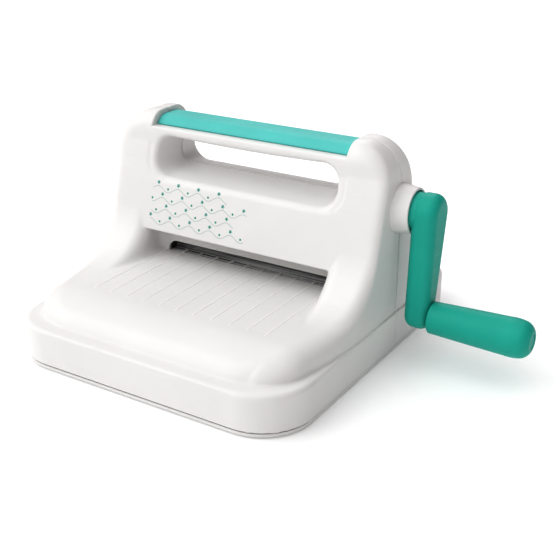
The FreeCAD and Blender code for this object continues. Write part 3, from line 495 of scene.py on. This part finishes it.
def within(tree, value, middle, half, soft):
    """One inside a band of values round a middle and zero outside it, with soft borders."""
    off = tree.nodes.new("ShaderNodeMath")
    off.operation = "SUBTRACT"
    off.inputs[1].default_value = middle
    tree.links.new(value, off.inputs[0])
    size = tree.nodes.new("ShaderNodeMath")
    size.operation = "ABSOLUTE"
    tree.links.new(off.outputs[0], size.inputs[0])
    return spread(tree, size.outputs[0], low=1.0, high=0.0, start=half - soft, end=half + soft)


def times(tree, values):
    """Several values multiplied together."""
    result = values[0]
    for value in values[1:]:
        node = tree.nodes.new("ShaderNodeMath")
        node.operation = "MULTIPLY"
        tree.links.new(result, node.inputs[0])
        tree.links.new(value, node.inputs[1])
        result = node.outputs[0]
    return result


def laid_over(tree, share, below, colour):
    """A plain colour laid over a worked-out one, by a share from 0 to 1."""
    node = tree.nodes.new("ShaderNodeMix")
    node.data_type = "RGBA"
    tree.links.new(share, node.inputs["Factor"])
    tree.links.new(below, node.inputs[6])
    node.inputs[7].default_value = (*colour, 1.0)
    return node.outputs[2]


def apart(tree, where):
    """The three coordinates as separate values."""
    node = tree.nodes.new("ShaderNodeSeparateXYZ")
    tree.links.new(where, node.inputs["Vector"])
    return node.outputs


# The recess wall over the slot is greyed with painted shade, the shadow under the panel's overhang, darker
# towards the crank's side. Its band is in metres.
painted_shade_grey = (0.52, 0.515, 0.50)
painted_shade_half = dict(X=0.093, Y=0.043, Z=0.0102)
painted_shade_soft = dict(X=0.002, Y=0.001, Z=0.001)
painted_shade_from, painted_shade_full = -0.095, 0.01
painted_shade_above_slot = 6.0
painted_shade_z = (slot["low"] + painted_shade_above_slot + panel["low"]) / 2.0
painted_shade_at = dict(zip("XYZ", placed([0.0, 0.0, painted_shade_z])))
shell_plastic = moulded_plastic("shell_plastic", white, white_shade, white_roughness, white_grain)
tree = shell_plastic.node_tree
where = tree.nodes["Texture Coordinate"].outputs["Object"]
shell_colour = tree.nodes["Principled BSDF"].inputs["Base Color"]
plain = shell_colour.links[0].from_socket
at = apart(tree, where)
painted_shade_bands = [within(tree, at[axis], painted_shade_at[axis], painted_shade_half[axis], painted_shade_soft[axis]) for axis in "XYZ"]
streak = noise(tree, stretched(tree, where, (0.05, 1.0, 1.0)), cells=300.0, detail=3.0)
streak = spread(tree, streak, low=0.7, high=1.0)
painted_shade_to_right = spread(tree, at["X"], low=0.0, high=1.0,
                  start=painted_shade_at["X"] + painted_shade_from, end=painted_shade_at["X"] + painted_shade_full)
# Painted shade: the bands round the recess wall, times streaks, growing darker towards the crank's side.
painted_shade = times(tree, painted_shade_bands + [streak, painted_shade_to_right])
tree.links.new(laid_over(tree, painted_shade, plain, painted_shade_grey), shell_colour)

# The grid has an even step, and fine bands at the crisp edges: the half width of each band and its step.
grid_step, grid_spare, grid_below, grid_behind = 2.3, 3.0, 2.5, 1.2
bottom_band, rim_band, line_band = (0.6, 0.35), (2.5, 0.9), (0.6, 0.4)
edge_band, seam_band, recess_band = (0.8, 0.5), (0.9, 0.35), (1.6, 0.65)
shell_crease = 38.0
ledge_x = (body["half_width"] + body["side"]) / 2.0
crisp_x = (-ledge_x, -seat["half"], -slot["left"], halves["front"]["slot_right"], seat["half"], ledge_x)
crisp_z = [(body["bottom"], *bottom_band), (body["rim"] - 1.0, *rim_band), (slot["low"], *line_band),
           (slot["high"], *line_band), (panel["low"], *edge_band), (seat["low"], *line_band)]
crisp_out = [(body["seam"] / 2.0, *seam_band), (body["recess"] - 1.0, *recess_band)]
grid_end = body["half_width"] + grid_spare
grid_x = marks(-grid_end, grid_end, grid_step, [(x, *edge_band) for x in crisp_x])
grid_z = marks(body["bottom"] - grid_below, body["top"] + grid_spare, grid_step, crisp_z)
for half, node in (("front", "front_shell"), ("rear", "rear_shell")):
    grid_out = marks(-grid_behind, halves[half]["end"] + grid_spare, grid_step, crisp_out)
    grid_y = np.sort(halves[half]["sign"] * grid_out)
    points, quads = skin_of(lambda x, y, z, h=half: housing_wall(h, x, y, z), (grid_x, grid_y, grid_z))
    shell = mesh_piece(half + "_housing", placed(points), [quads], shell_plastic, shell_crease)
    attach(shell, "base")
    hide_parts(node)

# Raised lines: eleven low ribs moulded on each table, so that plates slide easily. They are in a lighter
# white than the table, a painted highlight. Their inner ends rise and reach over the guide like teeth at
# the slot's lower edge.
rib = dict(pitch=17.0, count=11, half=0.7, height=0.36, sink=0.6, start=19.5, start_beside_slot=27.2,
           round_points=9, crease=50.0)
rib_share = np.array([0.0, 0.004, 0.055, 0.085, 0.3, 0.6, 0.9, 0.97, 0.99, 1.0])
rib_lift = np.array([3.3, 3.8, 3.6, 1.0, 1.0, 1.0, 1.0, 0.8, 0.4, 0.0])
# Painted highlight: the ribs' white is lighter than the table's, so they read as bright lines.
rib_highlight_white = (0.80, 0.79, 0.775)
rib_highlight_shade = (0.77, 0.76, 0.745)
rib_highlight_plastic = moulded_plastic("rib_highlight_plastic", rib_highlight_white, rib_highlight_shade, roughness=0.32, grain=0.00002)


def tubes(rings):
    """Closed tubes from an array of rings (tube, station, corner, xyz): quads between rings, flat ends."""
    count, stations, corners = rings.shape[:3]
    number = np.arange(count * stations * corners).reshape(count, stations, corners)
    after = np.roll(number, -1, 2)
    walls = np.stack([number[:, :-1], after[:, :-1], after[:, 1:], number[:, 1:]], -1).reshape(-1, 4)
    ends = np.concatenate([number[:, 0, ::-1], number[:, -1]])
    return rings.reshape(-1, 3), [walls, ends]


rib_turn = np.linspace(math.pi, 0.0, rib["round_points"])
ring_x = np.concatenate([rib["half"] * np.cos(rib_turn), [rib["half"], -rib["half"]]])
ring_z = np.concatenate([rib["height"] * np.sin(rib_turn), [-rib["sink"], -rib["sink"]]])
rib_x = (np.arange(rib["count"]) - (rib["count"] - 1) / 2.0) * rib["pitch"]
rib_start = np.where(np.abs(rib_x) + rib["half"] > slot["left"], rib["start_beside_slot"], rib["start"])
for half, h in halves.items():
    out = rib_start[:, None] + (h["rib_end"] - rib_start)[:, None] * rib_share
    level = body["level"] - body["fall"] * (out - body["recess"])
    rings = np.stack(np.broadcast_arrays(
        rib_x[:, None, None] + ring_x,
        h["sign"] * out[:, :, None] + 0.0 * ring_x,
        level[:, :, None] + np.where(ring_z > 0.0, ring_z * rib_lift[:, None], ring_z)), -1)
    points, faces = tubes(rings[:, :, ::-1] if half == "front" else rings)
    ribs = mesh_piece(half + "_table_ribs", placed(points), faces, rib_highlight_plastic, rib["crease"])
    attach(ribs, "base")

# Print: a light decoration, pad-printed on the front panel in two teal inks: rows of fine waves with a
# blossom over each crest and a dot over each hollow. The ink stands a little proud of the plastic.
teal_ink = ((0.028, 0.30, 0.245), (0.022, 0.26, 0.21))
pale_ink = ((0.40, 0.50, 0.48), (0.33, 0.44, 0.42))
ink = dict(rise=0.07, sink=0.15, line_half=0.21, crease=40.0)
wave = dict(length=21.5, rise=2.3, row_shift=0.25, left=-89.0, points=97, most=9)
wave_rows = ((86.5, 11.0), (96.0, -1.0), (105.5, 11.0), (115.0, -10.0))
motif = dict(lift=3.0, points=40, dot=0.95, blossom=1.75, petals=5.0, petal_depth=0.28)


def printed_ink(name, tones):
    """Printing ink: fine mottling between two tones of one colour, and a gloss that varies as finely."""
    material, tree, shader, where = finish_tree(name)
    mottle = noise(tree, where, cells=900.0, detail=3.0)
    gloss = noise(tree, where, cells=1500.0, detail=2.0)
    tree.links.new(two_tone(tree, mottle, *tones), shader.inputs["Base Color"])
    tree.links.new(spread(tree, gloss, low=0.45, high=0.6), shader.inputs["Roughness"])
    return material


def on_panel(x, z, rise):
    """Points on the leaning panel, lifted off it by a small rise along its normal."""
    lean = body["lean"]
    out = body["top_half"] + math.tan(lean) * (body["top"] - z)
    return np.stack(np.broadcast_arrays(x, -out - rise * math.cos(lean), z + rise * math.sin(lean)), -1)


motif_ink = printed_ink("printed_ink", teal_ink)
line_ink = printed_ink("printed_line", pale_ink)
waves, dots, blossoms = [], [], []
for row, (height, right) in enumerate(wave_rows):
    x = np.linspace(wave["left"], right, wave["points"])
    turns = (x - wave["left"]) / wave["length"] + wave["row_shift"] * row
    z = height + wave["rise"] * np.cos(turns * 2.0 * math.pi)
    tilt = np.arctan2(np.gradient(z), np.gradient(x))
    px, pz = -np.sin(tilt) * ink["line_half"], np.cos(tilt) * ink["line_half"]
    ring = [on_panel(x - px, z - pz, -ink["sink"]), on_panel(x + px, z + pz, -ink["sink"]),
            on_panel(x + px, z + pz, ink["rise"]), on_panel(x - px, z - pz, ink["rise"])]
    waves.append(np.stack(ring, 1))
    crest = wave["left"] + (np.arange(wave["most"]) - wave["row_shift"] * row) * wave["length"]
    hollow = crest + wave["length"] / 2.0
    crest, hollow = (p[(p >= wave["left"]) & (p <= right)] for p in (crest, hollow))
    blossoms.append(np.stack([crest, 0.0 * crest + height + wave["rise"] + motif["lift"]], 1))
    dots.append(np.stack([hollow, 0.0 * hollow + height - wave["rise"] + motif["lift"]], 1))
points, faces = tubes(np.stack(waves))
lines = mesh_piece("printed_waves", placed(points), faces, line_ink, ink["crease"])
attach(lines, "base")

motif_turn = np.linspace(0.0, 2.0 * math.pi, motif["points"], endpoint=False)
petal_wave = 1.0 - motif["petal_depth"] + motif["petal_depth"] * np.cos(motif["petals"] * motif_turn)
for name, places, radius in (("printed_dots", np.concatenate(dots), motif["dot"] + 0.0 * motif_turn),
                             ("printed_blossoms", np.concatenate(blossoms), motif["blossom"] * petal_wave)):
    x = places[:, :1] + radius * np.cos(motif_turn)
    z = places[:, 1:] + radius * np.sin(motif_turn)
    points, faces = tubes(np.stack([on_panel(x, z, -ink["sink"]), on_panel(x, z, ink["rise"])], 1))
    spots = mesh_piece(name, placed(points), faces, motif_ink, ink["crease"])
    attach(spots, "base")

# Grip: a soft teal strip, moulded to the bar's round and pressed into its seat between the pillars.
# Its lower edges and its ends are lightly rounded.
grip_teal = (0.088, 0.51, 0.475)
grip_shade = (0.079, 0.47, 0.437)
strip = dict(half=95.7, low=167.2, inset=4.0, thick=3.0, edge=0.7, crease=40.0)
strip_points = dict(edge=6, round=24, length=40)
end_length = 4.0
end_steps = np.array([0.0, 0.08, 0.25, 0.5])
end_shrinks = np.array([0.45, 0.25, 0.08, 0.0])
teal_grip = moulded_plastic("teal_grip", grip_teal, grip_shade, roughness=0.5, grain=0.00004)


def strip_section(shrink):
    """Cross-section (y, z) of the strip, drawn in by a shrink: an outer and an inner quarter round about one
    centre, joined below by a lip of two small rounds, and the same mirrored across the bar's flat."""
    centre_z = body["top"] - body["top_round"]
    edge = strip["edge"]
    outer = body["top_round"] - strip["inset"] - shrink
    inner = body["top_round"] - strip["inset"] - strip["thick"] + shrink
    lip_rise = strip["low"] + shrink + edge - centre_z
    out_angle = math.asin(lip_rise / (outer - edge))
    in_angle = math.asin(lip_rise / (inner + edge))

    def arc(radius, start, end, count, off=0.0, off_angle=0.0):
        """Points on a circle, whose centre lies off the rounds' centre by a length at an angle."""
        angle = np.linspace(start, end, count)
        return np.stack([bar_flat() + off * math.cos(off_angle) + radius * np.cos(angle),
                         centre_z + off * math.sin(off_angle) + radius * np.sin(angle)], 1)

    heel = arc(edge, in_angle - math.pi, -math.pi / 2.0, strip_points["edge"], inner + edge, in_angle)
    toe = arc(edge, -math.pi / 2.0, out_angle, strip_points["edge"], outer - edge, out_angle)
    over = arc(outer, out_angle, math.pi / 2.0, strip_points["round"])[1:]
    under = arc(inner, math.pi / 2.0, in_angle, strip_points["round"])[:-1]
    mirror = np.array([-1.0, 1.0])
    outside = np.concatenate([heel, toe, over])
    return np.concatenate([outside, (outside * mirror)[::-1], (under * mirror)[::-1], under])


length = 2.0 * strip["half"]
stations = np.concatenate([end_steps, np.linspace(end_length, length - end_length, strip_points["length"]),
                           length - end_steps[::-1]]) - strip["half"]
shrinks = np.concatenate([end_shrinks, np.zeros(strip_points["length"]), end_shrinks[::-1]])
sections = np.stack([strip_section(shrink) for shrink in shrinks])
along = np.broadcast_to(stations[:, None, None], sections.shape[:2] + (1,))
points, faces = tubes(np.concatenate([along, sections], -1)[None])
grip = mesh_piece("grip", placed(points), faces, teal_grip, strip["crease"])
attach(grip, "base")
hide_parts("handle_grip")

# Collar: a white moulded cone on the tower's right side, held in a hole across the seam.
# It is cupped to take the arm's boss, with the crank's shaft in a bush inside.
dress(["crank_collar"], white_plastic)

# Crank: a tapering teal lever with fully rounded edges, moulded and fixed on the shaft's flat.
# A swelling knob turns on a pin at its end, closed by a small cap.
crank_teal = (0.018, 0.385, 0.312)
crank_shade = (0.015, 0.35, 0.28)
teal_plastic = moulded_plastic("teal_plastic", crank_teal, crank_shade, roughness=0.45, grain=0.00004,
                               shine=0.25)
dress(["crank_arm", "crank_knob", "knob_cap"], teal_plastic)

# Floor: a plain matt white table top that reaches far past the camera's view. It gives off a little light of
# its own, so that it stays white round the machine.
floor_white = (0.86, 0.86, 0.86)
floor_shade = (0.85, 0.85, 0.85)
floor_reach, floor_roughness, floor_shine, floor_glow = 12.0, 0.9, 0.1, 0.14
white_table, tree, shader, where = finish_tree("white_table")
mottle = noise(tree, where, cells=6.0, detail=2.0)
tree.links.new(two_tone(tree, mottle, floor_white, floor_shade), shader.inputs["Base Color"])
shader.inputs["Roughness"].default_value = floor_roughness
shader.inputs["Specular IOR Level"].default_value = floor_shine
shader.inputs["Emission Color"].default_value = (1.0, 1.0, 1.0, 1.0)
shader.inputs["Emission Strength"].default_value = floor_glow
corners = np.array([(-1.0, -1.0, 0.0), (1.0, -1.0, 0.0), (1.0, 1.0, 0.0), (-1.0, 1.0, 0.0)]) * floor_reach
floor = mesh_piece("floor", corners, [[[0, 1, 2, 3]]], white_table)

# Light and camera: a studio tent, bright above, in front and on the left, with a soft key lamp at the front
# left and a soft rim lamp behind. The tent's foot is white all round, so that no dark skyline shows.
bright_side = (-0.28, -0.38, 0.88)
bright_air = (1.0, 1.0, 1.0)
dim_air = (0.04, 0.02, 0.025)
dim_until, bright_from = 0.12, 0.85
tent_strength, tent_foot, tent_foot_soft = 1.55, 0.045, 0.005
lamps = (dict(name="key", energy=0.7, angle=50.0, tilt=48.0, turn=-56.0),
         dict(name="rim", energy=0.55, angle=30.0, tilt=56.0, turn=-154.0))
view_gamma = 0.76
camera_at = [435.51, -667.57, 377.91]
camera_down, camera_turn, camera_lens, camera_sensor = 23.448, 31.918, 61.77, 36.0

scene = bpy.context.scene
scene.view_settings.view_transform = "Standard"
scene.view_settings.gamma = view_gamma
world = bpy.data.worlds.new("studio")
scene.world = world
world.use_nodes = True
tree = world.node_tree
where = tree.nodes.new("ShaderNodeTexCoord").outputs["Generated"]
aim = tree.nodes.new("ShaderNodeVectorMath")
aim.operation = "DOT_PRODUCT"
aim.inputs[1].default_value = bright_side
tree.links.new(where, aim.inputs[0])
brightness = spread(tree, aim.outputs["Value"], low=0.0, high=1.0, start=dim_until, end=bright_from)
air = two_tone(tree, brightness, dim_air, bright_air)
foot = within(tree, apart(tree, where)["Z"], 0.0, tent_foot, tent_foot_soft)
background = tree.nodes["Background"]
tree.links.new(laid_over(tree, foot, air, bright_air), background.inputs["Color"])
background.inputs["Strength"].default_value = tent_strength
for lamp in lamps:
    sun_data = bpy.data.lights.new(lamp["name"], "SUN")
    sun_data.energy = lamp["energy"]
    sun_data.angle = math.radians(lamp["angle"])
    sun = bpy.data.objects.new(lamp["name"], sun_data)
    sun.rotation_euler = (math.radians(lamp["tilt"]), 0.0, math.radians(lamp["turn"]))
    scene.collection.objects.link(sun)

camera_data = bpy.data.cameras.new("camera")
camera_data.lens = camera_lens
camera_data.sensor_width = camera_sensor
camera = bpy.data.objects.new("camera", camera_data)
camera.location = placed(camera_at)
camera.rotation_euler = (math.radians(90.0 - camera_down), 0.0, math.radians(camera_turn))
scene.collection.objects.link(camera)
scene.camera = camera

bpy.context.view_layer.update()
